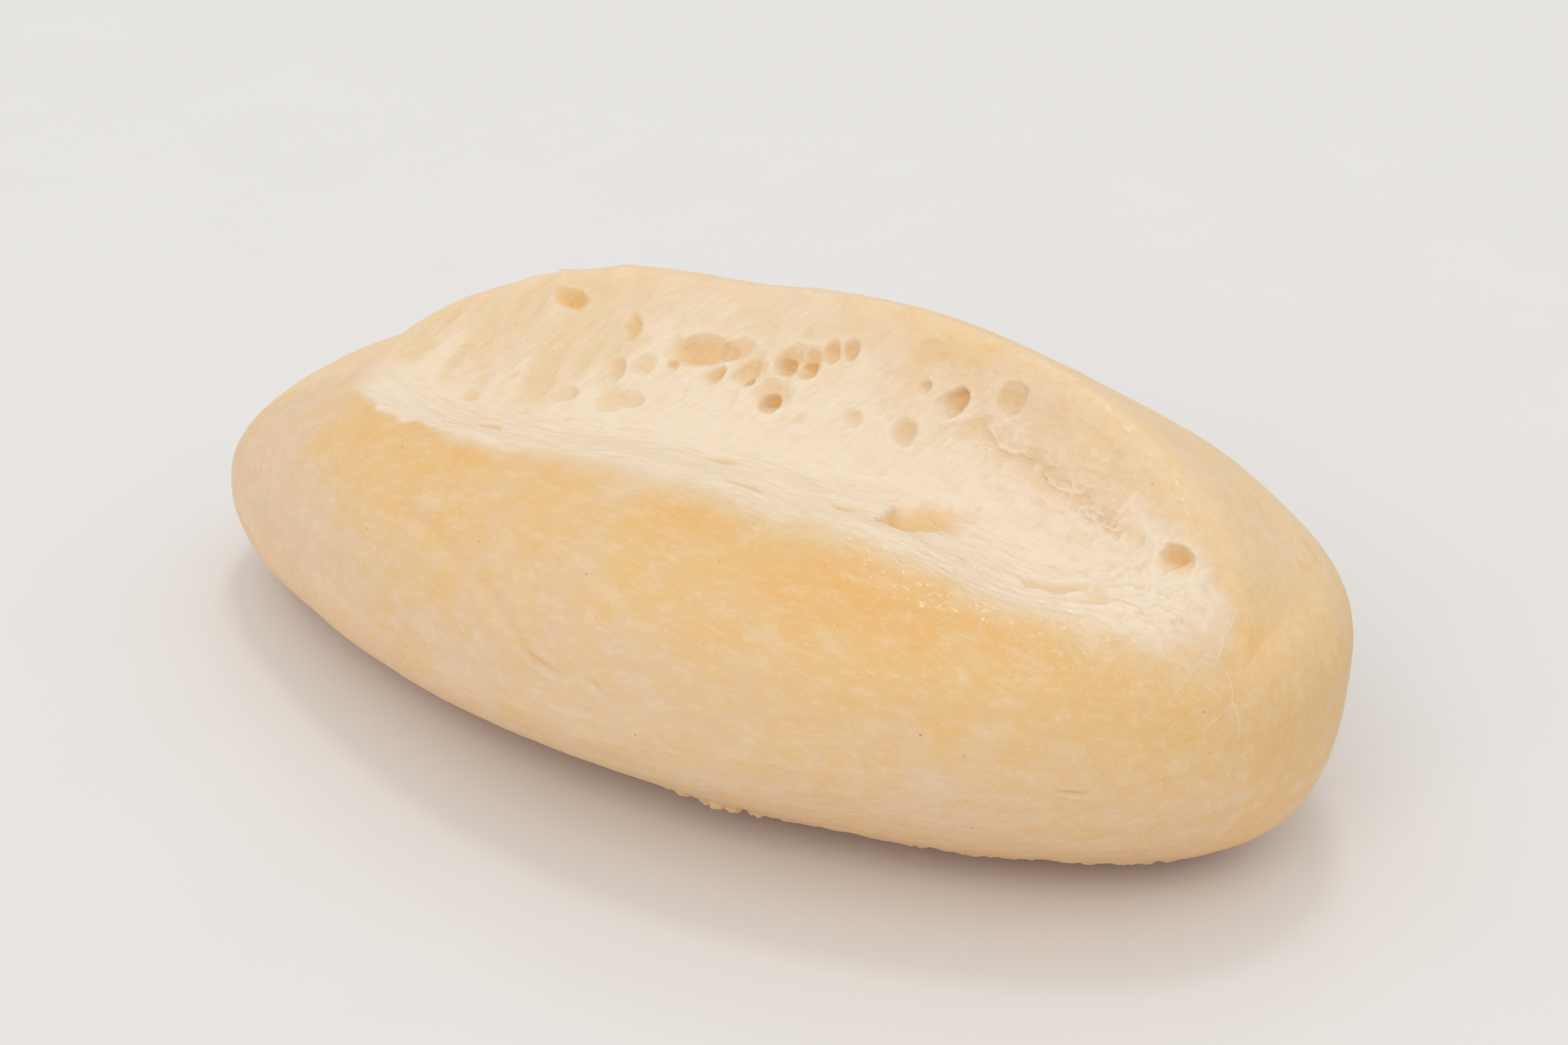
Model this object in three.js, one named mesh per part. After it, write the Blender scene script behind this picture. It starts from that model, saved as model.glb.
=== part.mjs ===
// A baked oval bread roll, one solid, in millimetres.
//
// Frame: the origin is on the tray side, under the middle of the roll's box. +X runs along the
// roll to its fuller end, +Z is up, and the roll lies on the flat spot of its base at z = 0.
// One long cut opened in the oven: its low rim is on the -Y side and its raised lip on the +Y side.

import * as THREE from 'three';
import { mergeVertices } from 'three/addons/utils/BufferGeometryUtils.js';

// Driving dimensions, mm.
const LENGTH = 150;
const HALF_WIDTH = 39.5;          // belly half width in the middle
const CROWN_HEIGHT = 44;          // top of the loaf above the base line, without the raised lip
const BELLY_HEIGHT = 19.5;        // height of the widest line in the middle
const BELLY_CLIMB = 5.75;         // how much that line climbs from the middle to the fuller end
const BEND = 0.3;                 // sideways bow of the middle line
const SETTLE = 1.5;               // how far the base sank flat against the tray
const CUT_HALF_WIDTH = 15.25;     // half width of the opened cut
const CUT_OFFSET = -9.5;          // the cut's middle line, to the -Y side of the roll's
const CUT_SLANT = -1.5;           // how much further to that side it is at the fuller end
const CUT_START = -0.68;          // the cut's ends, as shares of the half length
const CUT_END = 0.94;
const FLOOR_DROP = 2.05;          // how far the crumb's floor lies below the low rim
const FOOT = 0.5;                 // where the wall rises from the floor, as a share across the cut
const FOOT_SHIFT = 0.13;          // how much nearer to the lip that is at the fuller end
const FOOT_ROUNDING = 4;          // length over which the foot is rounded
const LIP_RISE = 8;               // how far the oven lifted the far lip
const LIP_SPREAD = 11.5;          // how far behind the lip that lift fades

// The fuller end is this much wider and taller than the middle, as shares.
const END_WIDENING = 0.12;
const END_HEIGHTENING = 0.15;

// Facets around the roll and along it.
const FACETS_AROUND = 72;
const FACETS_ALONG = 56;

const CRUST_COLOUR = 0xe3c08c;
const CRUST_ROUGHNESS = 0.55;

// Distance from the middle, 0 at u = 0 and 1 at the ends, without a corner in the middle.
function fromMiddle(u) {
  const blend = 0.15;
  return (Math.hypot(u, blend) - blend) / (Math.hypot(1, blend) - blend);
}

// A rounded outline that is 1 in the middle and closes at the ends (u = -1 and 1).
// A larger power keeps the middle straighter, and a larger close makes the ends blunter.
function taper(u, power, close) {
  return Math.max(1 - fromMiddle(u) ** power, 0) ** (1 / close);
}

// The roll's cross section at u, a share of the half length.
function section(u) {
  const belly = BELLY_HEIGHT + BELLY_CLIMB * u;
  const crown = CROWN_HEIGHT * (1 + END_HEIGHTENING * u) - belly;
  return {
    middle: BEND * (1 - u * u),
    halfWidth: HALF_WIDTH * (1 + END_WIDENING * u) * taper(u, 1.25, 2.3),
    belly,
    rise: crown * taper(u, 2.1, 1.85),
    drop: belly * taper(u, 3.3, 4.1),
  };
}

// Roundness of the section above and below the belly: 2 is an ellipse, more is squarer.
const UPPER_ROUNDNESS = 2.25;
const LOWER_ROUNDNESS = 2.05;

// A point of the uncut loaf at u and at an angle around the section, 0 at +Y and a quarter turn up.
function loafPoint(u, angle) {
  const at = section(u);
  const across = Math.cos(angle);
  const upward = Math.sin(angle);
  const power = 2 / (upward >= 0 ? UPPER_ROUNDNESS : LOWER_ROUNDNESS);
  const reach = upward >= 0 ? at.rise : at.drop;
  const y = at.middle + at.halfWidth * Math.sign(across) * Math.abs(across) ** power;
  const z = at.belly + reach * Math.sign(upward) * Math.abs(upward) ** power;
  return { y, z };
}

// Height of the uncut loaf's top at (u, y).
function crownHeight(u, y) {
  const at = section(u);
  const share = Math.min(Math.abs(y - at.middle) / Math.max(at.halfWidth, 1e-6), 1);
  return at.belly + at.rise * (1 - share ** UPPER_ROUNDNESS) ** (1 / UPPER_ROUNDNESS);
}

// How far the cut has opened at u: 1 at its widest, 0 at and beyond its ends.
function opening(u) {
  const along = (2 * (u - CUT_START)) / (CUT_END - CUT_START) - 1;
  return Math.sqrt(Math.max(1 - along * along, 0));
}

// The higher of two heights, with the corner between them filled.
function higherOf(a, b, rounding) {
  const near = Math.max(rounding - Math.abs(a - b), 0) / Math.max(rounding, 1e-6);
  return Math.max(a, b) + (near * near * rounding) / 4;
}

// Height of the crumb at u and at a share across the cut: a low floor, then a wall up to the lip.
// Towards its ends the cut runs out into a plain slope from rim to lip.
function crumbHeight(u, across, rimHeight, lipHeight, open) {
  const { smoothstep } = THREE.MathUtils;
  const floor = rimHeight - FLOOR_DROP * open * smoothstep(across, 0, 0.45);
  const foot = FOOT + FOOT_SHIFT * smoothstep(u, -0.1, 0.45);
  const footHeight = rimHeight - FLOOR_DROP * open;
  const wall = footHeight + ((lipHeight - footHeight) * (across - foot)) / (1 - foot);
  const crumb = higherOf(floor, wall, FOOT_ROUNDING * open);
  const slope = rimHeight + (lipHeight - rimHeight) * across;
  const runOut = Math.max(smoothstep(u, 0.62, 0.9), smoothstep(-u, 0.4, 0.66));
  return crumb + (slope - crumb) * runOut;
}

// Height that the oven added at (u, y): the lip behind the cut, and the sunk crumb inside it.
function ovenLift(u, y) {
  const width = opening(u);
  if (width === 0) {
    return 0;
  }
  const middle = CUT_OFFSET + CUT_SLANT * u + section(u).middle;
  const nearRim = middle - CUT_HALF_WIDTH * width;
  const farLip = middle + CUT_HALF_WIDTH * width;
  const open = width * THREE.MathUtils.smoothstep(width, -0.1, 0.55);
  if (y <= nearRim) {
    return 0;
  }
  if (y >= farLip) {
    return LIP_RISE * open * Math.exp(-(((y - farLip) / LIP_SPREAD) ** 2));
  }
  const across = (y - nearRim) / (farLip - nearRim);
  const lipHeight = crownHeight(u, farLip) + LIP_RISE * open;
  return crumbHeight(u, across, crownHeight(u, nearRim), lipHeight, open) - crownHeight(u, y);
}

// The roll: a fine sphere with its poles at the two ends, whose points are moved to the loaf's form.
function makeRollGeometry() {
  const sphere = new THREE.SphereGeometry(1, FACETS_AROUND, FACETS_ALONG);
  sphere.rotateZ(-Math.PI / 2);
  sphere.deleteAttribute('normal');
  sphere.deleteAttribute('uv');
  const geometry = mergeVertices(sphere);
  const points = geometry.getAttribute('position');
  for (let i = 0; i < points.count; i += 1) {
    const u = THREE.MathUtils.clamp(points.getX(i), -1, 1);
    const angle = Math.atan2(points.getZ(i), points.getY(i));
    const { y, z } = loafPoint(u, angle);
    const lift = angle > 0 ? ovenLift(u, y) : 0;
    points.setXYZ(i, (u * LENGTH) / 2, y, Math.max(z + lift - SETTLE, 0));
  }
  geometry.computeBoundingBox();
  const middle = geometry.boundingBox.getCenter(new THREE.Vector3());
  geometry.translate(-middle.x, -middle.y, 0);
  geometry.computeVertexNormals();
  return geometry;
}

const roll = new THREE.Mesh(
  makeRollGeometry(),
  new THREE.MeshStandardMaterial({
    color: CRUST_COLOUR,
    roughness: CRUST_ROUGHNESS,
    metalness: 0,
  }),
);
roll.name = 'bread_roll';

const part = new THREE.Group();
part.name = 'bread_roll_part';
part.add(roll);

export default part;
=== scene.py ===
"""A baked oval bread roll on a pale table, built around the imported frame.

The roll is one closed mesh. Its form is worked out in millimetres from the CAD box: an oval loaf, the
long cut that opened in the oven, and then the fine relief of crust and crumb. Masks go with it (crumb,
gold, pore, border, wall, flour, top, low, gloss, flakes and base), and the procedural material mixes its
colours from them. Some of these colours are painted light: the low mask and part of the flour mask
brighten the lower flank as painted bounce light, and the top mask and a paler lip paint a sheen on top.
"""

import math

import bpy
import numpy as np
from mathutils import Matrix, Vector


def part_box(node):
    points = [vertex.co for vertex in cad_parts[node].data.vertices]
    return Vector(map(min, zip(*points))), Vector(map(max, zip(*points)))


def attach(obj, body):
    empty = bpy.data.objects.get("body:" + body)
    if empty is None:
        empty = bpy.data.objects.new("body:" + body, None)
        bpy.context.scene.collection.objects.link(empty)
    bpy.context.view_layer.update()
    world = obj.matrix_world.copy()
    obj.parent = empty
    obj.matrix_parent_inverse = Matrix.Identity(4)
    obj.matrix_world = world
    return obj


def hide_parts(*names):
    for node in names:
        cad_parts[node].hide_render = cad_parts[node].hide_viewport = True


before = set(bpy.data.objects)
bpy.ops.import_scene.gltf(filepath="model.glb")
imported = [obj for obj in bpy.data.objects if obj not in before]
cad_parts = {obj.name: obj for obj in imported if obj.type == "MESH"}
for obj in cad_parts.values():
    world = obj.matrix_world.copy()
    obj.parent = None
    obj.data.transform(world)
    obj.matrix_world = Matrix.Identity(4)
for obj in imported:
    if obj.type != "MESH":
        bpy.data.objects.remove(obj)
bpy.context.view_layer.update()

MM = 0.001
LENGTH, WIDTH, HEIGHT = [(high - low) / MM for low, high in zip(*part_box("bread_roll"))]

# ---------------------------------------------------------------- the loaf's driving dimensions, mm
HALF_LENGTH = LENGTH / 2
HALF_WIDTH = 0.4975 * WIDTH       # belly half width in the middle
CROWN_HEIGHT = 0.858 * HEIGHT     # top above the base line, without the raised lip
BELLY_HEIGHT = 0.380 * HEIGHT     # height of the widest line in the middle
BELLY_CLIMB = 0.112 * HEIGHT      # how much it climbs from the middle to the fuller end
BEND = 0.0038 * WIDTH             # sideways bow of the middle line
SETTLE = 0.029 * HEIGHT           # how far the base sank flat against the tray
END_WIDENING = 0.12               # the fuller end is wider and taller than the middle by these shares
END_HEIGHTENING = 0.15
UPPER_ROUNDNESS = 2.25
LOWER_ROUNDNESS = 2.05

# The opened cut.
CUT_HALF_WIDTH = 0.192 * WIDTH
CUT_OFFSET = -0.120 * WIDTH
CUT_SLANT = -0.019 * WIDTH        # how much further to the near side it is at the fuller end
CUT_START = -0.68                 # its ends, as shares of the half length
CUT_END = 0.94
FLOOR_DROP = 0.040 * HEIGHT       # how far the crumb's floor lies below the low rim
FOOT = 0.50                       # where the wall rises from the floor, as a share across the cut
FOOT_SHIFT = 0.13                 # how much nearer to the lip that is at the fuller end
FOOT_ROUNDING = 4.0               # mm over which the foot is rounded
LIP_RISE = 0.156 * HEIGHT
LIP_SPREAD = 0.145 * WIDTH
CRISP_RIM_ROUNDING = 1.6          # mm over which the low rim is rounded, at the thin end and elsewhere
SOFT_RIM_ROUNDING = 3.6
LIP_ROUNDING = 4.5                # mm over which the raised lip is rounded

# Swings of the low rim: place and breadth as shares of the half length, and the swing in mm.
RIM_SWINGS = [
    (-0.61, 0.08, 0.9),
    (-0.28, 0.14, -0.7),
    (0.05, 0.13, 1.1),
    (0.38, 0.05, 0.8),
    (0.63, 0.08, -1.0),
    (0.88, 0.05, 0.9),
]

# The mesh: rings along the roll, and points around each ring.
RINGS = 600
AROUND = 820
CUT_DENSITY = 1.9                 # how close-set the points are in the cut and under the base
BASE_DENSITY = 0.6
BASE_ZONE = 3                     # mm of height above the table where the base is flattened smoothly
BASE_SOFTNESS = 0.5               # mm over which its edge is rounded
SEED = 20


# ---------------------------------------------------------------- noise
HASH_PRIMES = (73856093, 19349663, 83492791)
TABLE_SIZE = 4096                 # a power of two
SEED_SHIFT = 17.31                # how far apart the noises of neighbouring seeds are, in cells


def noise(points, size, seed):
    """Smooth noise from -1 to 1 at points (n, 3). size is the feature size: one number, or one per axis."""
    cell = (points / np.asarray(size, float) + seed * SEED_SHIFT).T
    base = np.floor(cell)
    part = cell - base
    fade = part ** 3 * (part * (part * 6 - 15) + 10)
    keys = [(base[axis].astype(np.int64) + step) * HASH_PRIMES[axis] for axis in range(3) for step in (0, 1)]
    shares = [share for axis in range(3) for share in (1 - fade[axis], fade[axis])]
    table = np.random.default_rng(seed).uniform(-1, 1, TABLE_SIZE)
    total = np.zeros(len(points))
    for i, j, k in np.ndindex(2, 2, 2):
        at = (keys[i] ^ keys[2 + j] ^ keys[4 + k]) & (TABLE_SIZE - 1)
        total += table[at] * (shares[i] * shares[2 + j] * shares[4 + k])
    return total


def layered(points, size, seed, layers=3):
    """Noise with finer layers added, each half the size and half the strength."""
    size = np.asarray(size, float)
    total = sum(noise(points, size / 2 ** k, seed + k) / 2 ** k for k in range(layers))
    return total / (2 - 2 ** (1 - layers))


def ramp(value, low, high):
    """0 below low, 1 above high, and smooth between them."""
    share = np.clip((value - low) / (high - low), 0, 1)
    return share * share * (3 - 2 * share)


def bump(value, centre, width):
    """1 at the centre, and fading to nothing about two widths away."""
    return np.exp(-(((value - centre) / width) ** 2))


def lower_of(a, b, rounding):
    """The lower of two heights, with the edge between them rounded."""
    near = np.maximum(rounding - np.abs(a - b), 0) / np.maximum(rounding, 1e-6)
    return np.minimum(a, b) - near * near * rounding / 4


# ---------------------------------------------------------------- the loaf's form
def from_middle(u):
    """Distance from the middle, 0 at u = 0 and 1 at the ends, without a corner in the middle."""
    blend = 0.15
    return (np.hypot(u, blend) - blend) / (math.hypot(1, blend) - blend)


def taper(u, power, close):
    """1 in the middle of the roll, and 0 at its ends, u = -1 and 1."""
    return np.maximum(1 - from_middle(u) ** power, 0) ** (1 / close)


def middle_line(u):
    return -BEND * u * u


def half_width(u):
    return HALF_WIDTH * (1 + END_WIDENING * u) * taper(u, 1.25, 2.3)


def belly_height(u):
    return BELLY_HEIGHT + BELLY_CLIMB * u


def crown_rise(u):
    return (CROWN_HEIGHT * (1 + END_HEIGHTENING * u) - belly_height(u)) * taper(u, 2.1, 1.85)


def base_drop(u):
    return belly_height(u) * taper(u, 3.3, 4.1)


def crown_height(u, y):
    """Height of the uncut loaf's top at (u, y)."""
    share = np.minimum(np.abs(y - middle_line(u)) / np.maximum(half_width(u), 1e-6), 1)
    return belly_height(u) + crown_rise(u) * (1 - share ** UPPER_ROUNDNESS) ** (1 / UPPER_ROUNDNESS)


def opening(u):
    """How far the cut has opened at u: 1 at its widest, 0 at and beyond its ends."""
    along = 2 * (u - CUT_START) / (CUT_END - CUT_START) - 1
    return np.sqrt(np.maximum(1 - along * along, 0))


def thin_end(u):
    """1 at the thin end, where the low rim is crisp, and 0 from the middle on."""
    return ramp(-u, 0.02, 0.40)


def rims(u):
    """The cut's low rim and its raised lip at u, as y."""
    middle = CUT_OFFSET + CUT_SLANT * u + middle_line(u)
    reach = CUT_HALF_WIDTH * opening(u)
    swing = sum(size * bump(u, place, breadth) for place, breadth, size in RIM_SWINGS)
    x = np.stack([u * HALF_LENGTH, 0 * u, 0 * u], -1)
    near = middle - reach + opening(u) * (swing + 0.35 * layered(x, 5, SEED))
    far = middle + reach + opening(u) * 0.6 * layered(x, 9, SEED + 5)
    return near, np.maximum(far, near + 1e-3)


def opened_height(u, y, near, far):
    """Height of the baked roll's top at (u, y): the crust, and the crumb that sank between the rims."""
    open_share = opening(u) * ramp(opening(u), -0.1, 0.55)
    lip = (LIP_RISE + LIP_ROUNDING / 10) * open_share
    crust = crown_height(u, y) + lip * bump(y, far, LIP_SPREAD)
    across = (y - near) / (far - near)
    near_height = crown_height(u, near)
    far_height = crown_height(u, far) + lip
    floor = near_height - FLOOR_DROP * open_share * ramp(across, 0.0, 0.45)
    foot = FOOT + FOOT_SHIFT * ramp(u, -0.1, 0.45)
    foot_height = near_height - FLOOR_DROP * open_share
    wall = foot_height + (far_height - foot_height) * (across - foot) / (1 - foot)
    crumb = -lower_of(-floor, -wall, FOOT_ROUNDING * open_share)
    bridge = near_height + (far_height - near_height) * across
    crumb += (bridge - crumb) * np.maximum(ramp(u, 0.62, 0.90), ramp(-u, 0.40, 0.66))
    rim_rounding = SOFT_RIM_ROUNDING + (CRISP_RIM_ROUNDING - SOFT_RIM_ROUNDING) * thin_end(u)
    rounding = rim_rounding + (LIP_ROUNDING - rim_rounding) * ramp(across, 0.3, 0.8)
    return np.where(open_share > 0, lower_of(crust, crumb, rounding * open_share), crust)


def evenly(path, count, weight):
    """Positions in a path's own index that share out its weighted length evenly."""
    step = np.linalg.norm(np.diff(path, axis=0), axis=1) * weight
    length = np.concatenate([[0], np.cumsum(step)])
    return np.interp(np.linspace(0, length[-1], count), length, np.arange(len(length)))


def ring_places():
    """The rings' places along the roll, evenly spread over its curved outline."""
    u = -np.cos(np.linspace(0, np.pi, 4001))
    outline = np.stack([u * HALF_LENGTH, half_width(u)], -1)
    at = evenly(outline, RINGS + 2, np.ones(len(u) - 1))
    return np.interp(at, np.arange(len(u)), u)[1:-1]


def ring_points(u, near, far, fine=1200):
    """Points around the section at u, from the base's middle round by the near side, close-set in the cut."""
    angle = np.linspace(-0.5 * np.pi, -2.5 * np.pi, fine + 1)
    across, upward = np.cos(angle), np.sin(angle)
    power = 2 / np.where(upward >= 0, UPPER_ROUNDNESS, LOWER_ROUNDNESS)
    reach = np.where(upward >= 0, crown_rise(u), base_drop(u))
    y = middle_line(u) + half_width(u) * np.sign(across) * np.abs(across) ** power
    z = belly_height(u) + reach * np.sign(upward) * np.abs(upward) ** power
    z = np.where(upward > 0, z + opened_height(u, y, near, far) - crown_height(u, y), z) - SETTLE
    z = np.where(z < BASE_ZONE, 0.5 * (z + np.hypot(z, BASE_SOFTNESS)), z)
    share = (y - near) / (far - near)
    in_cut = (share > -0.1) & (share < 1.1) & (upward > 0)
    weight = np.where(in_cut, CUT_DENSITY, np.where(z < 2, BASE_DENSITY, 1.0))
    at = evenly(np.stack([y, z], -1), AROUND + 1, 0.5 * (weight[1:] + weight[:-1]))[:-1]
    index = np.arange(fine + 1)
    return np.interp(at, index, y), np.interp(at, index, z)


def loaf_grid():
    """The smooth roll as rings of points (RINGS, AROUND, 3), with the ring places u."""
    places = ring_places()
    grid = np.empty((RINGS, AROUND, 3))
    for i, (u, near, far) in enumerate(zip(places, *rims(places))):
        grid[i, :, 0] = u * HALF_LENGTH
        grid[i, :, 1], grid[i, :, 2] = ring_points(u, near, far)
    return grid, places


def grid_normals(grid):
    """Outward normals of the grid."""
    along = np.gradient(grid, axis=0)
    around = np.roll(grid, -1, 1) - np.roll(grid, 1, 1)
    normal = np.cross(around, along)
    normal /= np.maximum(np.linalg.norm(normal, axis=2, keepdims=True), 1e-9)
    outward = (normal * (grid - grid.mean((0, 1)))).sum(2).mean()
    return normal if outward > 0 else -normal


# ---------------------------------------------------------------- relief and masks
class Surface:
    """The smooth roll's points as flat arrays, with the places that relief and masks are worked out from."""

    def __init__(self, grid, places):
        self.points = grid.reshape(-1, 3)
        self.normals = grid_normals(grid).reshape(-1, 3)
        self.places = places
        self.u = np.repeat(places, AROUND)
        self.x, self.y, self.z = self.points.T
        near, far = rims(places)
        self.near, self.far = np.repeat(near, AROUND), np.repeat(far, AROUND)
        self.open = opening(self.u)
        self.upper = self.z > belly_height(self.u) - SETTLE
        self.across = (self.y - self.near) / np.maximum(self.far - self.near, 1e-3)
        self.inside_near = self.y - self.near
        self.inside_far = self.far - self.y
        foot = FOOT + FOOT_SHIFT * ramp(self.u, -0.1, 0.45)
        self.wall = ramp(self.across - foot, -0.10, 0.14)
        self.thin_end = thin_end(self.u)

    def noise(self, size, seed, layers=1):
        return layered(self.points, size, SEED + seed, layers)

    def strands(self, angle, length, breadth, seed, layers=2):
        """Wavy strands on the cut, from -1 to 1, at an angle (degrees) from the roll's length up the wall."""
        a = math.radians(angle)
        up_wall = 1.15 * self.inside_near
        sway = 0.8 * self.noise(5, seed + 5, 2)
        along = self.x * math.cos(a) + up_wall * math.sin(a)
        side = up_wall * math.cos(a) - self.x * math.sin(a) + sway
        return layered(np.stack([along, side, 0 * side], -1), (length, breadth, 9), SEED + seed, layers)

    def ring_at(self, x):
        return int(np.argmin(np.abs(self.places * HALF_LENGTH - x)))

    def spot(self, x, across):
        """Index of the surface point at x along the roll and a share across the cut."""
        ring = self.ring_at(x)
        row = slice(ring * AROUND, (ring + 1) * AROUND)
        off = np.where(self.upper[row], np.abs(self.across[row] - across), 9)
        return row.start + int(np.argmin(off))

    def around(self, spot, reach):
        """Indices of the points within reach mm of a spot, and their offsets from it."""
        x = self.x[spot]
        rows = slice(self.ring_at(x - reach) * AROUND, (self.ring_at(x + reach) + 1) * AROUND)
        offset = self.points[rows] - self.points[spot]
        close = np.flatnonzero((offset ** 2).sum(1) < reach ** 2)
        return rows.start + close, offset[close]


def crumb_mask(s):
    """1 on the pale crumb of the cut, with a crisp edge on the thin end's low rim and soft ones elsewhere."""
    soft = 1.2 + 5.0 * (1 - s.thin_end)
    near_edge = ramp((s.inside_near + 1.0 * (1 - s.thin_end) + 1.3 * s.noise(2.6, 31, 3)) / soft, -0.3, 1.0)
    lip_side = s.across + 0.10 * s.noise(3.4, 35, 3) - 0.14 * (1 - ramp(s.u, 0.05, 0.35))
    far_edge = 1 - ramp(lip_side, 0.70, 1.05)
    ends = ramp(s.open + 0.07 * s.noise(4, 39, 3), 0.12, 0.55)
    return near_edge * far_edge * ends * s.upper


def gold_mask(s, crumb):
    """How golden the surface is: deepest along the low rim, palest near the base and at the thin end."""
    rim_height = opened_height(s.u, s.near, s.near, s.far) - SETTLE
    below_rim = np.hypot(np.minimum(s.inside_near, 0), np.maximum(rim_height - s.z, 0))
    front = s.y < 0.5 * (s.near + s.far)
    behind = np.maximum(-s.inside_far, 0)
    depth = np.where(front, below_rim, 0.55 * behind)
    gold = 0.22 + 0.56 * np.exp(-((depth / 14) ** 2)) + 0.08 * ramp(s.z, 4, 24)
    patches = 0.30 * bump(s.x, 37, 10) + 0.20 * bump(s.x, 13, 6) - 0.30 * bump(s.x, 3, 4)
    gold += patches * np.exp(-((depth / 8) ** 2)) * front
    # Paler crust just behind the far rim, on the lip's top: painted sheen.
    gold -= 0.60 * bump(s.y, s.far + 3, 9) * s.upper * ramp(s.open, 0.0, 0.5)
    gold -= 0.14 * ramp(-s.u, 0.2, 0.5) * ramp(depth, 6, 16)
    gold *= 0.40 + 0.60 * ramp(s.u, -0.72, -0.40)
    gold *= 1 - 0.20 * ramp(s.u, 0.75, 1.0)
    gold += 0.34 * s.noise(11, 41, 4) + 0.14 * s.noise(3, 45, 2)
    lip_start = 0.55 + 0.16 * ramp(s.u, 0.25, 0.45)
    lip_gold = ramp(s.across - lip_start + 0.16 * s.noise(5, 47, 3), 0.0, 0.36)
    lip_gold *= 0.55 + 0.35 * ramp(s.u, 0.25, 0.45)
    lip_gold *= 1 - 0.85 * bump(s.x, 20, 6) - 0.35 * bump(s.x, 55, 5)
    lip_gold *= 1 - 0.45 * bump(s.across, 1.15, 0.2) * (1 - ramp(s.u, 0.1, 0.3))
    rim_gold = 0.55 * np.exp(-np.maximum(s.inside_near, 0) / 4) * (1 - s.thin_end) * ramp(-s.u, -0.85, -0.55)
    folds = 0.75 * ramp(s.strands(82, 11, 3.4, 119, 2), 0.0, 0.6) * s.wall * ramp(-s.u, 0.12, 0.3)
    inside = np.maximum(lip_gold, rim_gold) + 0.14 * s.noise(5, 49, 3) + 0.20 * s.thin_end + folds
    return np.clip(gold * (1 - crumb) + inside * crumb, 0, 1)


def crust_relief(s):
    """Gentle swells, dents and fine grain of the baked skin, mm."""
    swell = 0.50 * s.noise(26, 51, 2)
    dents = 0.14 * s.noise(8, 53, 2)
    grain = 0.040 * s.noise(1.7, 55, 3)
    return swell + dents + grain


def crumb_relief(s):
    """Drawn-out dough inside the cut: long folds on the floor, and torn, slanting strands up the wall, mm."""
    floor_folds = 0.36 * s.strands(0, 18, 3.6, 61, 3)
    floor_strands = 0.10 * s.strands(2, 5, 0.7, 64)
    upright_folds = ramp(-s.u, 0.12, 0.3) * s.strands(82, 11, 3.4, 119, 2)
    wall_folds = 0.50 * s.strands(70, 8, 3.2, 67, 3) - upright_folds
    wall_strands = 0.20 * s.strands(48, 4, 0.9, 71, 2) + 0.10 * s.strands(58, 3, 0.5, 73, 1)
    crinkle = 0.30 * np.abs(s.noise(1.9, 111, 3)) * ramp(s.across, 0.55, 0.8) * ramp(s.u, 0.25, 0.5)
    return (floor_folds + floor_strands) * (1 - s.wall) + (wall_folds + wall_strands) * s.wall - crinkle


def wool_relief(s):
    """The torn, woolly crumb where the cut runs out at the fuller end, mm."""
    run_out = bump(s.x, 61, 9) * bump(s.across, 0.48, 0.30)
    wall_foot = bump(s.x, 44, 10) * bump(s.across, 0.69, 0.08)
    place = run_out + 0.3 * wall_foot
    fluff = np.abs(s.noise(2.6, 75, 4)) * 1.3 + 0.30 * s.strands(35, 2.5, 0.6, 79)
    return place * s.upper * (fluff - 0.35)


# Dimples: place along the roll (mm), share across the cut, half length and half breadth (mm), depth (mm),
# turn (degrees) and how golden their inside is.
DIMPLES = [
    (-24.4, 0.91, 2.6, 1.6, 0.8, 0, 1.0),
    (-14.4, 0.82, 1.4, 2.3, 0.7, 25, 0.6),
    (-13.5, 0.68, 1.4, 1.8, 0.7, 30, 0.4),
    (-10.4, 0.70, 2.0, 1.5, 0.6, 20, 0.4),
    (-4.2, 0.765, 5.0, 2.6, 1.3, 14, 0.8),
    (0.6, 0.79, 2.6, 1.7, 0.9, 10, 0.6),
    (3.4, 0.74, 2.6, 2.5, 1.0, 0, 0.7),
    (7.4, 0.69, 3.0, 2.3, 1.0, 10, 0.5),
    (8.0, 0.79, 1.6, 2.2, 1.1, 0, 0.8),
    (10.6, 0.81, 1.9, 2.4, 1.1, 10, 0.85),
    (12.6, 0.85, 1.5, 1.9, 1.0, 10, 0.8),
    (14.7, 0.87, 1.3, 1.5, 0.9, 20, 0.8),
    (18.4, 0.71, 1.3, 1.1, 0.5, 0, 0.3),
    (25.0, 0.73, 1.8, 1.7, 0.9, 20, 0.45),
    (32.8, 0.80, 2.6, 1.6, 0.5, 30, 0.5),
    (24.6, 0.93, 3.5, 2.0, 0.5, 30, 0.5),
    (35.7, 0.90, 1.9, 2.3, 1.0, 0, 0.9),
    (-12.3, 0.57, 2.4, 1.8, 0.6, 20, 0.4),
    (-9.6, 0.58, 1.8, 1.2, 0.5, 0, 0.35),
    (-19.1, 0.57, 2.4, 1.2, 0.6, 10, 0.35),
    (-32.0, 0.48, 2.0, 1.2, 0.4, 5, 0.3),
    (-23.5, 0.26, 2.2, 1.0, 0.4, 0, 0.9),
    (-27.5, 0.16, 1.5, 0.8, 0.35, 0, 0.7),
    (7.0, 0.40, 3.0, 1.2, 0.3, 0, 0.5),
    (14.0, 0.22, 3.5, 1.2, 0.3, 0, 0.6),
    (25.0, 0.33, 2.2, 1.4, 0.45, 0, 0.6),
    (50.4, 0.40, 4.0, 1.8, 0.6, 15, 0.5),
    (55.0, 0.33, 3.0, 1.3, 0.5, 15, 0.3),
    (33.4, 0.45, 5.2, 4.0, 0.7, 48, 0.85),
]

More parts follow.
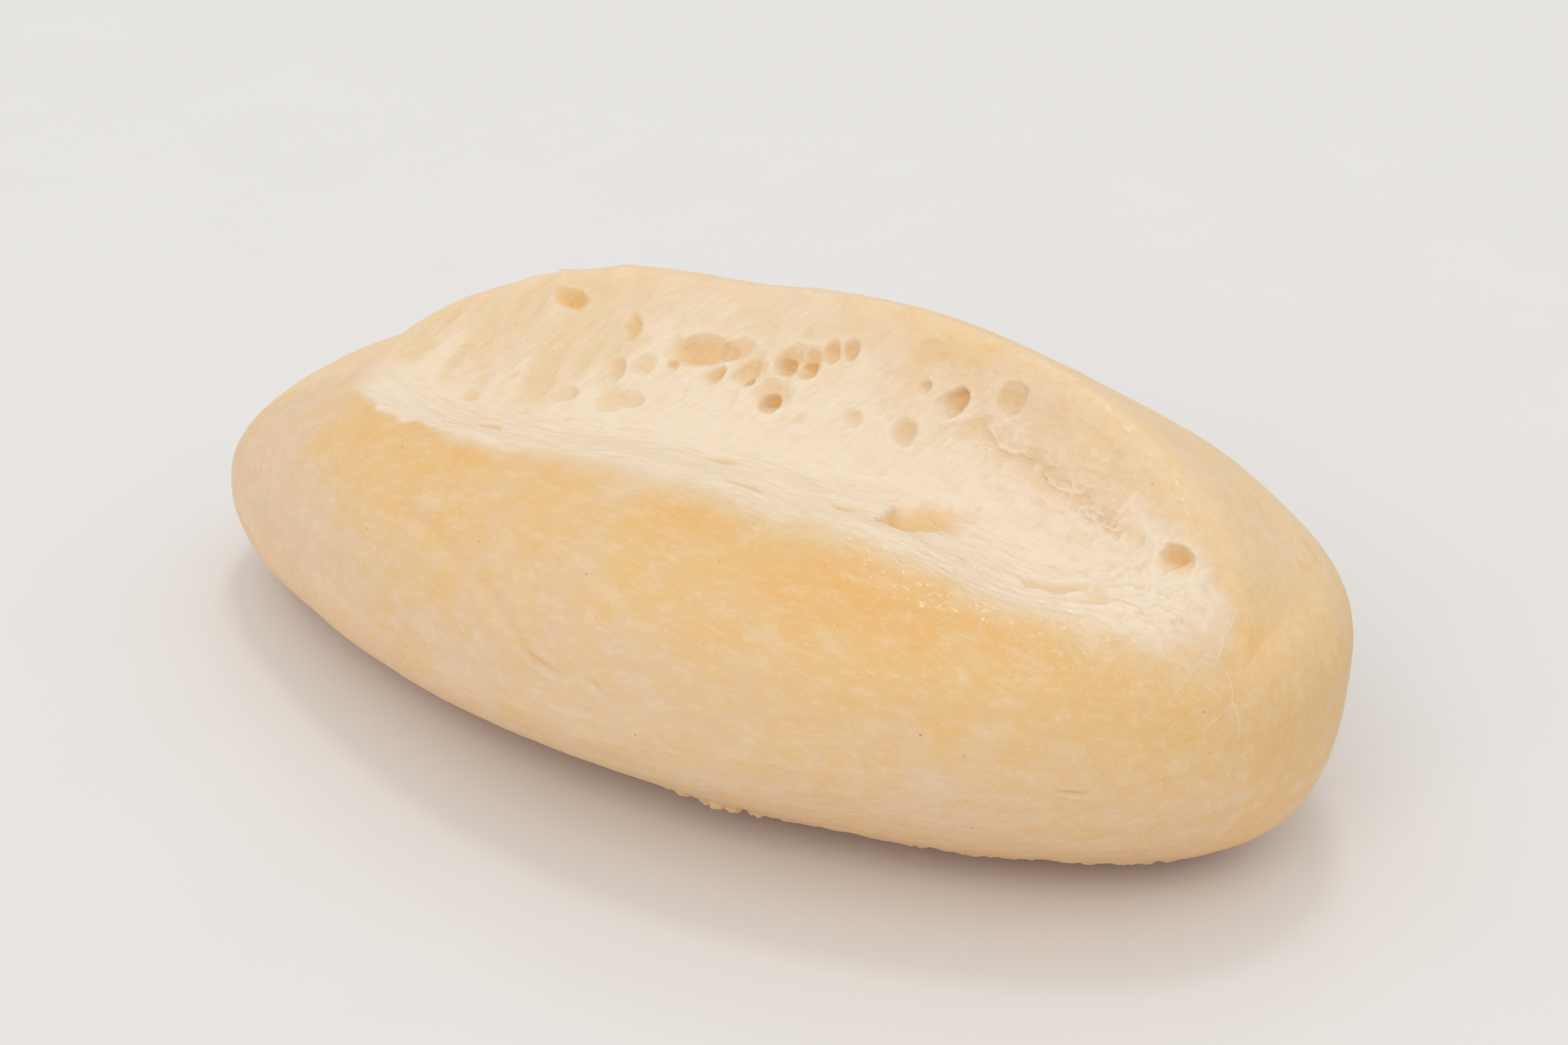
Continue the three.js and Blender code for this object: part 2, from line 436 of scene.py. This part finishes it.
# Holes: the same, but the turn is replaced by the direction in which they reach in under the surface
# (degrees, 0 along the roll to the fuller end and 90 up the wall).
HOLES = [
    (-6.6, 0.70, 1.3, 0.8, 0.9, 120, 0.9),
    (-0.8, 0.69, 2.2, 1.0, 1.0, 50, 0.9),
    (4.1, 0.70, 0.9, 0.8, 0.8, 90, 0.9),
    (7.7, 0.665, 1.7, 1.4, 1.5, 100, 1.0),
    (7.8, 0.775, 1.2, 1.1, 0.8, 90, 0.8),
    (10.6, 0.785, 1.5, 1.1, 0.9, 85, 0.8),
    (25.3, 0.84, 1.3, 0.8, 0.8, 60, 0.7),
    (29.2, 0.83, 2.7, 1.6, 2.2, 45, 1.0),
    (60.4, 0.69, 2.3, 2.0, 1.7, 80, 1.0),
    (31.4, 0.40, 2.6, 3.0, 0.8, 215, 1.0),
]

SMALL_BUBBLES = 60


def drawn_bubbles():
    """Little bubbles along the foot of the wall."""
    draw = np.random.default_rng(SEED)
    rows = []
    for _ in range(SMALL_BUBBLES):
        x = draw.uniform(-42, 60)
        across = np.clip(draw.normal(0.62, 0.16), 0.06, 0.92)
        length = draw.uniform(0.35, 1.1)
        breadth = length * draw.uniform(0.5, 1.0)
        rows.append((x, across, length, breadth, draw.uniform(0.06, 0.18), draw.uniform(-20, 80), 0.25))
    return rows


def tear_line(s):
    """The row of small tears that parts the pale crumb from the golden wall above it, from 0 to 1."""
    line = 0.785 - 0.09 * ramp(s.x, 44, 62) + 0.02 * s.noise(5, 115, 2)
    cells = ramp(np.abs(s.noise(1.7, 117, 2)), 0.03, 0.30)
    return bump(s.across, line, 0.035) * cells * ramp(s.x, 31, 35) * ramp(-s.x, -59, -53) * s.upper


class Bubbles:
    """The relief, sideways push and colour mask that all dimples and holes leave on the surface."""

    def __init__(self, s):
        self.s = s
        self.relief = np.zeros(len(s.x))
        self.push = np.zeros((len(s.x), 3))
        self.pore = np.zeros(len(s.x))
        self.border = np.zeros(len(s.x))

    def press(self, row, hole):
        """Press one dimple, or one hole that reaches in sideways."""
        x, across, length, breadth, depth, turn, gold = row
        spot = self.s.spot(x, across)
        close, offset = self.s.around(spot, 1.6 * max(length, breadth))
        normal = self.s.normals[spot]
        along = np.cross(np.cross(normal, [1, 0, 0]), normal)
        along /= np.linalg.norm(along)
        up_wall = np.cross(normal, along)
        angle = math.radians(turn)
        lean = along * math.cos(angle) + up_wall * math.sin(angle)
        beside = np.cross(normal, lean)
        near = self.s.points[close]
        ragged = 1 + 0.22 * noise(near, 1.8, SEED + 85) + 0.10 * noise(near, 0.8, SEED + 86)
        forward, sideways = offset @ lean / length, offset @ beside / breadth
        reach = np.hypot(forward, sideways) * ragged
        inside = np.maximum(1 - reach ** 2, 0)
        if hole:
            hollow = inside ** 0.7 * (0.10 + 0.90 * ramp(forward, -0.9, 0.6))
            self.push[close] += (0.35 * depth * hollow * inside)[:, None] * lean
        else:
            hollow = inside ** 1.3
        border = min(depth, 1) * bump(reach, 1.10, 0.22)
        self.relief[close] += 0.08 * border - depth * hollow
        self.border[close] = np.maximum(self.border[close], border)
        self.pore[close] = np.maximum(self.pore[close], gold * ramp(hollow, 0.0, 0.9))


def press_bubbles(s):
    """All dimples, small bubbles and holes of the cut."""
    bubbles = Bubbles(s)
    for row in DIMPLES + drawn_bubbles():
        bubbles.press(row, False)
    for row in HOLES:
        bubbles.press(row, True)
    return bubbles


def segment_distance(points, start, end):
    """Distance of points from a segment, and how far along it their nearest place is, from 0 to 1."""
    start, end = np.asarray(start, float), np.asarray(end, float)
    line = end - start
    share = np.clip((points - start) @ line / (line @ line), 0, 1)
    return np.linalg.norm(points - start - share[:, None] * line, axis=1), share


# Folds and slits in the crust: ends (x, y, z) in mm, depth and half breadth.
CREASES = [
    ((-25.3, -29.5, 29.9), (-9.0, -35.7, 28.0), 0.30, 1.00),
    ((-9.0, -35.7, 28.0), (-0.5, -38.6, 24.2), 0.30, 0.90),
    ((-0.5, -38.9, 23.4), (5.4, -39.2, 22.0), 0.45, 0.40),
    ((8.4, -39.4, 22.6), (10.6, -39.2, 22.2), 0.35, 0.35),
    ((58.0, -26.2, 19.2), (60.7, -24.4, 19.1), 0.45, 0.25),
]

# A dip and little baked blisters on the crest of the lip: place along the roll, half breadth and height, mm.
LIP_BLISTERS = [
    (-3.5, 9.0, -1.1),
    (-27.3, 1.4, 0.9),
    (-20.0, 1.7, 0.7),
    (-6.0, 1.6, 0.6),
    (5.9, 1.1, 0.8),
    (12.0, 1.2, 0.9),
    (20.5, 1.4, 0.6),
]


def crease_relief(s):
    """Folds and slits with a raised edge, and the blisters on the crest, mm."""
    relief = np.zeros(len(s.x))
    wavy = s.points + 0.35 * np.stack([0 * s.x, 0 * s.x, s.noise(2.5, 91, 2)], -1)
    for start, end, depth, breadth in CREASES:
        distance, share = segment_distance(wavy, start, end)
        fade = np.sqrt(np.maximum(1 - (2 * share - 1) ** 2, 0.05))
        relief -= depth * fade * bump(distance, 0, breadth)
        relief += 0.35 * depth * fade * bump(distance, 2.2 * breadth, 1.6 * breadth)
    for x, breadth, height in LIP_BLISTERS:
        spot = s.spot(x, 1.02)
        close, offset = s.around(spot, 3 * breadth)
        reach = np.linalg.norm(offset, axis=1)
        relief[close] += height * bump(reach, 0, breadth)
    return relief


BASE_EDGE = 4.5                   # height of the crumbly edge where the crust left the tray, mm


def base_relief(s):
    """The ragged edge where the crust left the tray, and the slightly pitted base below it, mm."""
    wander = 0.9 * s.noise(12, 95, 2)
    ragged = 0.25 + 1.1 * s.noise(1.5, 97, 3)
    flange = 1.2 * bump(s.x, 18, 6) * (s.y < 0)
    edge = (0.45 + flange) * bump(s.z, BASE_EDGE + wander, 1.0) * np.maximum(ragged, 0)
    return edge + 0.10 * s.noise(1.4, 101, 2) * ramp(BASE_EDGE - s.z, 0, 1.5)


def gloss_mask(s):
    """1 where the stretched skin shines: along the low rim, and on the golden wall and its crest."""
    rim_band = bump(s.inside_near, 0.5, 5) * ramp(s.u, -0.15, 0.25)
    lip_band = bump(s.across, 0.92, 0.20) * ramp(s.u, 0.2, 0.5)
    return np.clip(rim_band + lip_band, 0, 1) * s.upper * ramp(s.open, 0.1, 0.4)


def shape_roll():
    """The finished points of the roll and its masks."""
    s = Surface(*loaf_grid())
    crumb = crumb_mask(s)
    bubbles = press_bubbles(s)
    torn = np.maximum(crumb, ramp(bubbles.pore, 0, 0.3))
    relief = crust_relief(s) * (1 - 0.6 * crumb) + crumb_relief(s) * crumb + wool_relief(s) * crumb
    tears = tear_line(s)
    gloss = gloss_mask(s)
    relief -= 0.30 * np.abs(s.noise((1.9, 1.2, 1.2), 121, 3)) * gloss
    relief += bubbles.relief * torn - 0.4 * tears + crease_relief(s) + base_relief(s)
    on_tray = ramp(s.z, 0.0, 2.0)
    points = s.points + s.normals * (relief * (0.15 + 0.85 * on_tray))[:, None] + bubbles.push * torn[:, None]
    points[:, 2] = np.maximum(points[:, 2], 0.05 * np.abs(s.noise(1.2, 105, 2)))
    masks = {
        "crumb": crumb,
        "gold": gold_mask(s, crumb),
        "pore": np.maximum(bubbles.pore * torn, 0.45 * tears),
        "border": bubbles.border * (1 - bubbles.pore),
        "wall": s.wall,
        # flour: pale patches on the lower half, partly flour dust and partly painted light brightening the
        # lower flank.
        "flour_and_low_light": ramp(s.noise((9, 9, 3), 107, 3), 0.15, 0.6) * ramp(26 - s.z, 0, 12),
        # top: upward-facing crust behind the far rim gets a brighter colour, painted sheen and overhead
        # light.
        "top": ramp(s.normals[:, 2], 0.35, 0.8) * ramp(-s.inside_far, -4, 2),
        # low: the lower flank gets a brighter crust colour, painted light standing in for light bounced up
        # from the table.
        "low": ramp(20 - s.z + 3 * s.noise(9, 109, 2), 0, 14),
        "gloss": np.maximum(gloss, 0.35 * crumb),
        "flakes": ramp(s.x, 58, 64) * ramp(s.z, 20, 28) * ramp(s.noise(7, 113), 0.05, 0.35),
        "base": ramp(BASE_EDGE - 0.5 - s.z, 0, 1.2),
    }
    return points, masks


# ---------------------------------------------------------------- the mesh
def roll_faces():
    """Quads between rings, and a fan of triangles at each tip. The tips are the last two points."""
    ring = np.arange(AROUND)
    after = (ring + 1) % AROUND
    low = (np.arange(RINGS - 1) * AROUND)[:, None]
    quads = np.stack([low + ring, low + after, low + AROUND + after, low + AROUND + ring], -1).reshape(-1, 4)
    last = (RINGS - 1) * AROUND
    thin_tip, full_tip = RINGS * AROUND, RINGS * AROUND + 1
    thin_fan = np.stack([ring, np.full(AROUND, thin_tip), after], -1)
    full_fan = np.stack([last + ring, last + after, np.full(AROUND, full_tip)], -1)
    return quads, np.concatenate([thin_fan, full_fan])


def add_tips(values):
    """The rings' values with one more for each tip: the mean of the ring next to it."""
    return np.concatenate([values, [values[:AROUND].mean(0), values[-AROUND:].mean(0)]])


def add_uv(mesh):
    """One flat map of the rings: across it round the roll, and up it along the roll."""
    count = len(mesh.loops)
    vertex = np.zeros(count, np.int32)
    mesh.loops.foreach_get("vertex_index", vertex)
    sides = np.full(len(mesh.polygons), 4)
    sides[-2 * AROUND:] = 3
    column = np.repeat(np.arange(len(sides)) % AROUND, sides)
    ring, around = np.divmod(vertex, AROUND)
    tip = vertex >= RINGS * AROUND
    across = np.where((column == AROUND - 1) & (around == 0), AROUND, around)
    across = np.where(tip, column + 0.5, across)
    along = np.where(tip, np.where(vertex == RINGS * AROUND, -1, RINGS), ring)
    uv = np.stack([across / AROUND, (along + 1) / (RINGS + 1)], -1)
    mesh.uv_layers.new(name="OFBake").data.foreach_set("uv", uv.astype(np.float32).ravel())


def make_roll():
    points, masks = shape_roll()
    quads, fans = roll_faces()
    mesh = bpy.data.meshes.new("baked_roll")
    mesh.from_pydata(add_tips(points) * MM, [], quads.tolist() + fans.tolist())
    for name, values in masks.items():
        layer = mesh.attributes.new(name, "FLOAT", "POINT")
        layer.data.foreach_set("value", add_tips(values).astype(np.float32))
    add_uv(mesh)
    mesh.polygons.foreach_set("use_smooth", np.ones(len(mesh.polygons), bool))
    mesh.update()
    roll = bpy.data.objects.new("baked_roll", mesh)
    bpy.context.scene.collection.objects.link(roll)
    return roll


# ---------------------------------------------------------------- material
def srgb(red, green, blue):
    """A screen colour from 0 to 255 as linear RGBA."""
    def linear(value):
        share = value / 255
        return share / 12.92 if share <= 0.04045 else ((share + 0.055) / 1.055) ** 2.4
    return (linear(red), linear(green), linear(blue), 1.0)


class Nodes:
    """Small helpers to write a node tree as nested calls."""

    def __init__(self, material):
        material.use_nodes = True
        self.tree = material.node_tree
        self.tree.nodes.clear()
        self.coordinates = self.tree.nodes.new("ShaderNodeTexCoord").outputs["Object"]

    def add(self, kind, **settings):
        node = self.tree.nodes.new(kind)
        for name, value in settings.items():
            setattr(node, name, value)
        return node

    def feed(self, socket, value):
        if isinstance(value, bpy.types.NodeSocket):
            self.tree.links.new(value, socket)
        else:
            socket.default_value = value

    def mask(self, name):
        return self.add("ShaderNodeAttribute", attribute_name=name).outputs["Fac"]

    def scaled(self, size, stretch, turn=(0, 0, 0)):
        mapping = self.add("ShaderNodeMapping", vector_type="TEXTURE")
        self.feed(mapping.inputs["Vector"], self.coordinates)
        mapping.inputs["Scale"].default_value = [size * MM * factor for factor in stretch]
        mapping.inputs["Rotation"].default_value = [math.radians(angle) for angle in turn]
        return mapping.outputs["Vector"]

    def noise(self, size, detail=3.0, stretch=(1, 1, 1), roughness=0.55, turn=(0, 0, 0)):
        """Noise from 0 to 1 with features about size mm across, drawn out by stretch and turned."""
        node = self.add("ShaderNodeTexNoise")
        self.feed(node.inputs["Vector"], self.scaled(size, stretch, turn))
        node.inputs["Scale"].default_value = 1.0
        node.inputs["Detail"].default_value = detail
        node.inputs["Roughness"].default_value = roughness
        return node.outputs["Fac"]

    def cell_edges(self, size):
        """Distance to the edges of cells about size mm across, as a share of the size."""
        node = self.add("ShaderNodeTexVoronoi", feature="DISTANCE_TO_EDGE")
        self.feed(node.inputs["Vector"], self.scaled(size, (1, 1, 1)))
        node.inputs["Scale"].default_value = 1.0
        return node.outputs["Distance"]

    def math(self, operation, a, b=0.0):
        node = self.add("ShaderNodeMath", operation=operation)
        self.feed(node.inputs[0], a)
        self.feed(node.inputs[1], b)
        return node.outputs[0]

    def between(self, value, low, high, start=0.0, end=1.0):
        """start below low, end above high, and smooth between them."""
        node = self.add("ShaderNodeMapRange", interpolation_type="SMOOTHSTEP")
        self.feed(node.inputs["Value"], value)
        for name, number in (("From Min", low), ("From Max", high), ("To Min", start), ("To Max", end)):
            self.feed(node.inputs[name], number)
        return node.outputs["Result"]

    def mix(self, share, a, b):
        node = self.add("ShaderNodeMix", data_type="RGBA")
        self.feed(node.inputs["Factor"], share)
        self.feed(node.inputs["A"], a)
        self.feed(node.inputs["B"], b)
        return node.outputs["Result"]

    def bump(self, height, distance, normal=None):
        node = self.add("ShaderNodeBump")
        node.inputs["Strength"].default_value = 1.0
        self.feed(node.inputs["Distance"], distance)
        self.feed(node.inputs["Height"], height)
        if normal is not None:
            self.feed(node.inputs["Normal"], normal)
        return node.outputs["Normal"]


PALE_CRUST = srgb(225, 195, 162)
# A brighter crust colour for the lower flank: painted bounce light from the table.
PAINTED_LOW_LIGHT_CRUST = srgb(238, 195, 143)
# A brighter, paler crust colour for upward-facing crust behind the far rim: painted sheen.
PAINTED_SHEEN_TOP_CRUST = srgb(243, 212, 164)
GOLD_CRUST = srgb(228, 190, 132)
DEEP_GOLD = srgb(232, 175, 92)
PALE_CRUMB = srgb(239, 221, 196)
BRIGHT_CRUMB = srgb(244, 230, 210)
GOLD_CRUMB = srgb(232, 205, 165)
PORE_GOLD = srgb(231, 185, 118)
FLOUR = srgb(238, 220, 195)
BASE_TAN = srgb(206, 144, 80)
SPECK = srgb(112, 78, 48)


def crust_colour(n):
    """Pale to golden crust: broad patches, a fine mottle, pale flour, a few dark specks and painted light."""
    gold = n.mask("gold")
    uneven = n.math("SUBTRACT", n.noise(5, 5, (1.6, 1, 1), 0.6), 0.5)
    patches = n.math("ADD", gold, n.math("MULTIPLY", uneven, 0.60))
    colour = n.mix(n.between(patches, 0.1, 0.75), PALE_CRUST, GOLD_CRUST)
    colour = n.mix(n.between(patches, 0.72, 1.10, 0, 0.55), colour, DEEP_GOLD)
    # Painted light: the lower flank is brightened as if lit from the table below.
    colour = n.mix(n.math("MULTIPLY", n.mask("low"), 0.7), colour, PAINTED_LOW_LIGHT_CRUST)
    # Painted highlight: upward-facing crust behind the far rim is brightened by the top mask.
    colour = n.mix(n.math("MULTIPLY", n.mask("top"), 0.6), colour, PAINTED_SHEEN_TOP_CRUST)
    mottle = n.noise(1.9, 4, (2.4, 1, 1), 0.62)
    colour = n.mix(n.between(mottle, 0.48, 0.74, 0, 0.24), colour, FLOUR)
    colour = n.mix(n.between(mottle, 0.28, 0.50, 0.26, 0), colour, DEEP_GOLD)
    grain = n.noise(0.6, 5, (2.8, 1, 1), 0.7)
    colour = n.mix(n.between(grain, 0.50, 0.74, 0, 0.34), colour, FLOUR)
    colour = n.mix(n.between(grain, 0.28, 0.47, 0.22, 0), colour, DEEP_GOLD)
    # Flour patches low on the flank: flour dust, and partly painted light brightening the lower flank.
    colour = n.mix(n.math("MULTIPLY", n.mask("flour_and_low_light"), 0.20), colour, FLOUR)
    specks = n.between(n.noise(0.5, 0), 0.885, 0.90, 0, 0.5)
    return n.mix(specks, colour, SPECK)


def crumb_fibres(n):
    """Fine fibres of the drawn-out dough, from 0 to 1: along the floor, and slanting up the wall."""
    floor = n.noise(0.45, 3, (9, 1, 1))
    wall = n.noise(0.45, 3, (7, 1, 1), turn=(0, -33, 42))
    return n.math("ADD", n.math("MULTIPLY", floor, n.math("SUBTRACT", 1.0, n.mask("wall"))),
                  n.math("MULTIPLY", wall, n.mask("wall")))


def crumb_colour(n, fibres):
    """Creamy crumb, golden towards the lip, with drawn-out pale fibres and golden bubbles."""
    colour = n.mix(n.between(n.mask("gold"), 0.0, 0.9), PALE_CRUMB, GOLD_CRUMB)
    colour = n.mix(n.between(n.noise(2.4, 4, (1.5, 1, 1), 0.65), 0.48, 0.75, 0, 0.40), colour, GOLD_CRUMB)
    colour = n.mix(n.between(fibres, 0.30, 0.52, 0.45, 0), colour, GOLD_CRUMB)
    colour = n.mix(n.between(fibres, 0.55, 0.72, 0, 0.45), colour, BRIGHT_CRUMB)
    colour = n.mix(n.math("MULTIPLY", n.mask("pore"), 0.85), colour, PORE_GOLD)
    return n.mix(n.math("MULTIPLY", n.mask("border"), 0.15), colour, BRIGHT_CRUMB)


def make_crust_material():
    """One procedural material for the whole roll: crust, crumb and base by their masks."""
    material = bpy.data.materials.new("crust_and_crumb")
    n = Nodes(material)
    crumb = n.mask("crumb")
    fibres = crumb_fibres(n)
    colour = n.mix(crumb, crust_colour(n), crumb_colour(n, fibres))
    colour = n.mix(n.mask("base"), colour, BASE_TAN)
    flakes = n.math("MULTIPLY", n.between(n.cell_edges(6.5), 0.0, 0.022, 1, 0), n.mask("flakes"))
    colour = n.mix(n.math("MULTIPLY", flakes, 0.3), colour, BRIGHT_CRUMB)
    shader = n.add("ShaderNodeBsdfPrincipled")
    n.feed(shader.inputs["Base Color"], colour)
    flecks = n.between(n.noise(0.8, 2, (2.2, 1, 1)), 0.48, 0.58)
    shine = n.math("MULTIPLY", flecks, n.mask("gloss"))
    roughness = n.between(n.noise(1.5, 3), 0.3, 0.7, 0.42, 0.58)
    n.feed(shader.inputs["Roughness"], n.math("SUBTRACT", roughness, n.math("MULTIPLY", shine, 0.40)))
    fine = n.bump(n.noise(0.45, 3), 0.05 * MM, n.bump(flakes, 0.04 * MM))
    fibrous = n.bump(n.math("MULTIPLY", fibres, crumb), 0.14 * MM, fine)
    n.feed(shader.inputs["Normal"], n.bump(n.noise(1.3, 3, (1.5, 1, 1)), 0.16 * MM, fibrous))
    shader.inputs["Subsurface Weight"].default_value = 0.18
    shader.inputs["Subsurface Radius"].default_value = (1.0, 0.55, 0.25)
    shader.inputs["Subsurface Scale"].default_value = 2.2 * MM
    shader.inputs["IOR"].default_value = 1.45
    output = n.add("ShaderNodeOutputMaterial")
    n.feed(output.inputs["Surface"], shader.outputs["BSDF"])
    return material


def make_floor_material():
    material = bpy.data.materials.new("table")
    n = Nodes(material)
    shader = n.add("ShaderNodeBsdfPrincipled")
    n.feed(shader.inputs["Base Color"], n.mix(n.noise(30, 3), srgb(229, 227, 225), srgb(232, 230, 228)))
    shader.inputs["Roughness"].default_value = 0.7
    shader.inputs["Specular IOR Level"].default_value = 0.2
    output = n.add("ShaderNodeOutputMaterial")
    n.feed(output.inputs["Surface"], shader.outputs["BSDF"])
    return material


# ---------------------------------------------------------------- stage, light and camera
TABLE_HALF_SIDE = 3.0             # metres
DAYLIGHT = (1.0, 0.985, 0.96)
WARM_DAYLIGHT = (1.0, 0.98, 0.95)


def make_floor():
    half = TABLE_HALF_SIDE
    corners = [(-half, -half, 0), (half, -half, 0), (half, half, 0), (-half, half, 0)]
    mesh = bpy.data.meshes.new("table_top")
    mesh.from_pydata(corners, [], [(0, 1, 2, 3)])
    floor = bpy.data.objects.new("table_top", mesh)
    bpy.context.scene.collection.objects.link(floor)
    floor.data.materials.append(make_floor_material())
    return floor


def back_direction(azimuth, elevation):
    """Unit vector from the roll to a camera or light. Azimuth 0 is on the -Y side and 90 on the +X side."""
    a, e = math.radians(azimuth), math.radians(elevation)
    return Vector((math.sin(a) * math.cos(e), -math.cos(a) * math.cos(e), math.sin(e)))


def make_light(name, azimuth, elevation, distance, size, power, colour):
    """A square area light aimed at the roll's place: distance and size in metres, power in watts."""
    data = bpy.data.lights.new(name, "AREA")
    data.shape = "SQUARE"
    data.size = size
    data.energy = power
    data.color = colour
    light = bpy.data.objects.new(name, data)
    back = back_direction(azimuth, elevation)
    light.location = back * distance
    light.rotation_euler = back.to_track_quat("Z", "Y").to_euler()
    bpy.context.scene.collection.objects.link(light)


def make_world(strength):
    world = bpy.data.worlds.new("studio")
    world.use_nodes = True
    background = world.node_tree.nodes["Background"]
    background.inputs["Color"].default_value = (1.0, 1.0, 1.0, 1)
    background.inputs["Strength"].default_value = strength
    bpy.context.scene.world = world


# Angles in degrees, lengths in metres, and the lens in mm.
CAMERA_AZIMUTH = 35.19
CAMERA_ELEVATION = 27.59
CAMERA_ROLL = -0.62
CAMERA_DISTANCE = 0.3571
CAMERA_AIM = Vector((0.0011, 0.0077, 0.0189))
CAMERA_LENS = 69.0


def make_camera():
    data = bpy.data.cameras.new("camera")
    data.sensor_width = 36.0
    data.lens = CAMERA_LENS
    data.clip_start = 0.01
    camera = bpy.data.objects.new("camera", data)
    back = back_direction(CAMERA_AZIMUTH, CAMERA_ELEVATION)
    turn = back.to_track_quat("Z", "Y").to_matrix() @ Matrix.Rotation(math.radians(CAMERA_ROLL), 3, "Z")
    camera.matrix_world = Matrix.Translation(CAMERA_AIM + back * CAMERA_DISTANCE) @ turn.to_4x4()
    bpy.context.scene.collection.objects.link(camera)
    bpy.context.scene.camera = camera


def main():
    """Build the roll on its table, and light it."""
    roll = make_roll()
    roll.data.materials.append(make_crust_material())
    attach(roll, "root")
    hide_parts("bread_roll")
    make_floor()
    make_world(0.79)
    make_light("key", 200, 76, 2.2, 0.30, 4.3, DAYLIGHT)
    make_light("back", 205, 52, 2.2, 0.25, 1.1, DAYLIGHT)
    make_light("fill", 10, 38, 1.8, 1.2, 7.4, WARM_DAYLIGHT)
    make_camera()
    bpy.context.scene.view_settings.view_transform = "Standard"


main()
